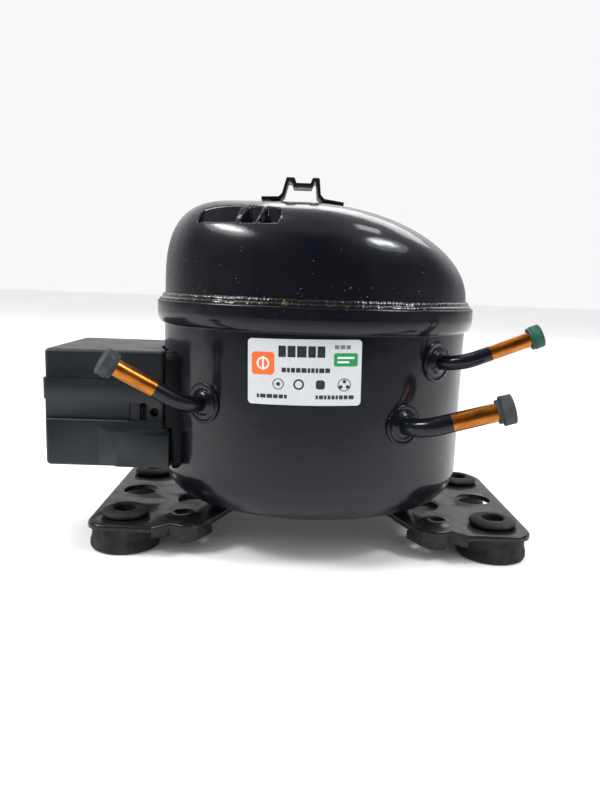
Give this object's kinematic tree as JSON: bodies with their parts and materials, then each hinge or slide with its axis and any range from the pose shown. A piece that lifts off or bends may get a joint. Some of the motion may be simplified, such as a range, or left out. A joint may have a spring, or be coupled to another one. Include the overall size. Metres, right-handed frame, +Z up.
{
  "type": "hermetic reciprocating compressor",
  "caption": "Sealed black refrigeration compressor: welded oval shell on foot plates, three pipe stubs with plugs, a side terminal cover, and a sprung motor and slide-tube piston pump inside.",
  "frame": {"origin": "centre of the four mounting holes, at floor level", "axes": "+X along the shell's length, away from the electrical cover; -Y towards the label and pipe stubs; +Z up"},
  "size_m": [0.2234, 0.1402, 0.1676],
  "materials": {
    "shell_paint": "gloss black enamel",
    "weld_paint": "gloss black enamel over a weld bead",
    "plate_paint": "semi-gloss black enamel",
    "foot_rubber": "matt charcoal rubber",
    "label_film": "silver-white film, printed",
    "pipe_copper": "copper, bare at the ends and painted black near the shell",
    "plug_grey": "dark grey rubber",
    "plug_green": "green rubber",
    "cover_plastic": "satin black plastic",
    "bracket_paint": "satin black",
    "header_steel": "plated steel",
    "pin_steel": "bright plated pins",
    "bead_glass": "green sealing glass",
    "starter_plastic": "off-white plastic",
    "protector_black": "black phenolic",
    "lead_red": "red wire insulation",
    "screw_brass": "brass",
    "lamination": "stacked laminations",
    "winding_copper": "enamelled copper wire",
    "cage_aluminium": "cast aluminium",
    "casting": "machined grey iron",
    "steel": "machined steel",
    "spring_steel": "spring wire",
    "reed_steel": "polished flapper steel",
    "gasket_grey": "fibre gasket",
    "muffler_plastic": "natural white plastic",
    "cap_plastic": "white plastic",
    "line_steel": "copper-coated steel pipe",
    "connector_plastic": "white plastic"
  },
  "bodies": {
    "shell": {"lower_shell": "shell_paint", "upper_shell": "shell_paint", "seam_weld": "weld_paint", "base_plate_left": "plate_paint", "base_plate_right": "plate_paint", "tray_clip": "plate_paint", "rating_label": "label_film", "suction_pipe": "pipe_copper", "discharge_pipe": "pipe_copper", "process_pipe": "pipe_copper", "suction_collar": "shell_paint", "discharge_collar": "shell_paint", "process_collar": "shell_paint", "foot_front_left": "foot_rubber", "foot_front_right": "foot_rubber", "foot_back_left": "foot_rubber", "foot_back_right": "foot_rubber", "terminal_header": "header_steel", "terminal_glass": "bead_glass", "terminal_pins": "pin_steel", "terminal_bracket": "bracket_paint", "earth_screw": "screw_brass", "ptc_starter": "starter_plastic", "overload_protector": "protector_black", "protector_lead": "lead_red", "spring_studs": "steel", "lead_connector": "connector_plastic"},
    "pump_unit": {"stator_core": "lamination", "stator_windings": "winding_copper", "stator_bolts": "steel", "cylinder_block": "casting", "suction_valve_sheet": "reed_steel", "valve_plate": "steel", "head_gasket": "gasket_grey", "discharge_valve_stop": "steel", "cylinder_head": "casting", "head_bolts": "steel", "suction_muffler": "muffler_plastic", "discharge_muffler": "steel", "spring_caps": "cap_plastic", "spring_front_left": "spring_steel", "spring_front_right": "spring_steel", "spring_back_left": "spring_steel", "spring_back_right": "spring_steel", "discharge_line": "line_steel", "motor_leads": "lead_red"},
    "crankshaft": {"crankshaft": "casting", "rotor_core": "lamination", "rotor_cage": "cage_aluminium", "oil_pickup_tube": "steel"},
    "gallery_plug": {"oil_gallery_plug": "steel"},
    "slide_block": {"slide_block": "steel"},
    "piston": {"piston": "steel", "slide_tube": "steel"},
    "suction_reed": {"suction_reed": "reed_steel"},
    "discharge_reed": {"discharge_reed": "reed_steel"},
    "suction_plug": {"suction_plug": "plug_grey"},
    "discharge_plug": {"discharge_plug": "plug_green"},
    "process_plug": {"process_plug": "plug_grey"},
    "terminal_cover": {"terminal_cover": "cover_plastic"}
  },
  "joints": [
    {"name": "suspension_bounce", "type": "slide", "parent": "shell", "child": "pump_unit", "axis": [0, 0, 1], "range_m": [-0.002, 0.0015], "stiffness_N_per_m": 24000, "springref_m": 0.00136, "deforming": ["spring_front_left", "spring_front_right", "spring_back_left", "spring_back_right", "discharge_line", "motor_leads"]},
    {"name": "crankshaft_spin", "type": "hinge", "parent": "pump_unit", "child": "crankshaft", "pos_m": [0.003, 0, 0.07], "axis": [0, 0, 1], "continuous": true},
    {"name": "gallery_plug_turn", "type": "hinge", "parent": "crankshaft", "child": "gallery_plug", "pos_m": [0.00625, 0, 0.124], "axis": [0, 0, 1], "continuous": true},
    {"name": "piston_travel", "type": "hinge", "parent": "gallery_plug", "child": "piston", "pos_m": [0.0095, 0, 0.115], "axis": [0, 0, 1], "continuous": true},
    {"name": "slide_block_turn", "type": "hinge", "parent": "crankshaft", "child": "slide_block", "pos_m": [0.0095, 0, 0.115], "axis": [0, 0, 1], "continuous": true},
    {"name": "suction_reed_flex", "type": "hinge", "parent": "pump_unit", "child": "suction_reed", "pos_m": [-0.04195, 0, 0.12565], "axis": [0, 1, 0], "range_deg": [-4, 0], "stiffness_Nm_per_rad": 0.01},
    {"name": "discharge_reed_flex", "type": "hinge", "parent": "pump_unit", "child": "discharge_reed", "pos_m": [-0.04525, 0, 0.1007], "axis": [0, -1, 0], "range_deg": [0, 4], "stiffness_Nm_per_rad": 0.01},
    {"name": "suction_plug_pull", "type": "slide", "parent": "shell", "child": "suction_plug", "axis": [-0.8005, -0.3176, 0.5083], "range_m": [0, 0.012]},
    {"name": "discharge_plug_pull", "type": "slide", "parent": "shell", "child": "discharge_plug", "axis": [0.9227, -0.0478, 0.3825], "range_m": [0, 0.012]},
    {"name": "process_plug_pull", "type": "slide", "parent": "shell", "child": "process_plug", "axis": [0.9549, -0.0865, 0.284], "range_m": [0, 0.012]},
    {"name": "terminal_cover_pull", "type": "slide", "parent": "shell", "child": "terminal_cover", "axis": [-1, 0, 0], "range_m": [0, 0.05]}
  ],
  "couplings": [
    {"joint": "gallery_plug_turn", "follows": "crankshaft_spin", "ratio": -2},
    {"joint": "piston_travel", "follows": "crankshaft_spin", "ratio": 1},
    {"joint": "slide_block_turn", "follows": "crankshaft_spin", "ratio": -1}
  ]
}
